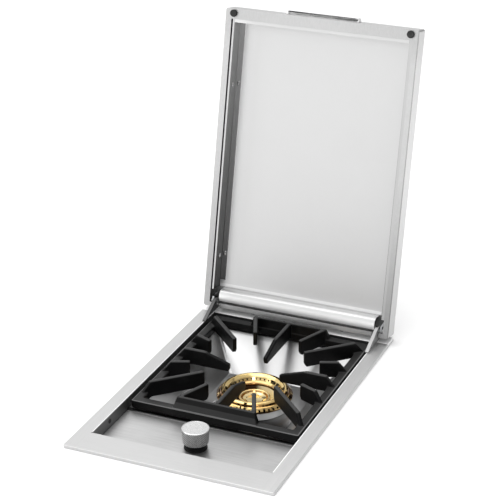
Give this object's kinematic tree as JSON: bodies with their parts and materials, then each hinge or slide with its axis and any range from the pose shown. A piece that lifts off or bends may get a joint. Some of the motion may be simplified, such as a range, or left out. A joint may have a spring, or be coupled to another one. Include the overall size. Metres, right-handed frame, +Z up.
{
  "type": "built-in gas side burner",
  "caption": "Drop-in gas side burner: folded steel flange and box, polished pan, ported brass rings, cast trivet, push-and-turn knob and hinged lined lid.",
  "frame": {"origin": "middle of the bounding box's bottom, with the lid open", "axes": "+X to the user's right, +Y to the back, +Z up"},
  "size_m": [0.32, 0.5984, 0.6195],
  "materials": {
    "flange_steel": "brushed stainless steel",
    "polished_steel": "polished stainless steel",
    "box_steel": "galvanised sheet",
    "cast_iron": "satin black enamel",
    "cast_aluminium": "cast, satin",
    "brass": "polished brass",
    "spun_aluminium": "turned",
    "black_plastic": "moulded black",
    "black_rubber": "soft black",
    "ceramic": "glazed ceramic",
    "pipe_steel": "drawn tube",
    "screw_steel": "bright zinc",
    "lead_rubber": "silicone sleeve"
  },
  "bodies": {
    "base": {"top_frame": "flange_steel", "burner_box": "box_steel", "control_panel": "flange_steel", "burner_pan": "polished_steel", "burner_base": "cast_aluminium", "outer_burner_ring": "brass", "inner_burner_cap": "brass", "burner_support": "box_steel", "support_rails": "box_steel", "main_mixing_tube": "cast_aluminium", "simmer_mixing_tube": "cast_aluminium", "main_air_shutter": "screw_steel", "simmer_air_shutter": "screw_steel", "main_injector": "brass", "simmer_injector": "brass", "gas_valve": "cast_aluminium", "knob_bezel": "black_plastic", "main_feed_pipe": "pipe_steel", "inlet_pipe": "pipe_steel", "inlet_fitting": "brass", "inlet_locknut": "brass", "hinge_gusset_left": "flange_steel", "hinge_gusset_right": "flange_steel", "igniter_insulator": "ceramic", "igniter_electrode": "screw_steel", "igniter_lead": "lead_rubber", "hinge_pins": "screw_steel", "hinge_clips": "screw_steel", "rear_screws": "screw_steel", "recess_screws": "screw_steel"},
    "valve_slide": {"push_collar": "brass"},
    "knob": {"knob": "spun_aluminium", "valve_stem": "screw_steel"},
    "trivet": {"trivet": "cast_iron", "trivet_feet": "black_rubber"},
    "lid": {"lid_shell": "flange_steel", "lid_liner": "polished_steel", "lid_handle": "flange_steel", "lid_bumpers": "black_rubber", "hinge_ear_left": "box_steel", "hinge_ear_right": "box_steel", "liner_screws": "screw_steel", "liner_brackets": "box_steel"}
  },
  "joints": [
    {"name": "lid_hinge", "type": "hinge", "parent": "base", "child": "lid", "pos_m": [0, 0.18263, 0.1435], "axis": [-1, 0, 0], "range_deg": [-101.8, 0]},
    {"name": "knob_push", "type": "slide", "parent": "base", "child": "valve_slide", "axis": [0, 0, -1], "range_m": [0, 0.003], "stiffness_N_per_m": 2000, "springref_m": -0.003},
    {"name": "knob_turn", "type": "hinge", "parent": "valve_slide", "child": "knob", "pos_m": [0, -0.20217, 0.13], "axis": [0, 0, 1], "range_deg": [0, 270]},
    {"name": "trivet_lift", "type": "slide", "parent": "base", "child": "trivet", "axis": [0, 0, 1], "range_m": [0, 0.06]}
  ]
}
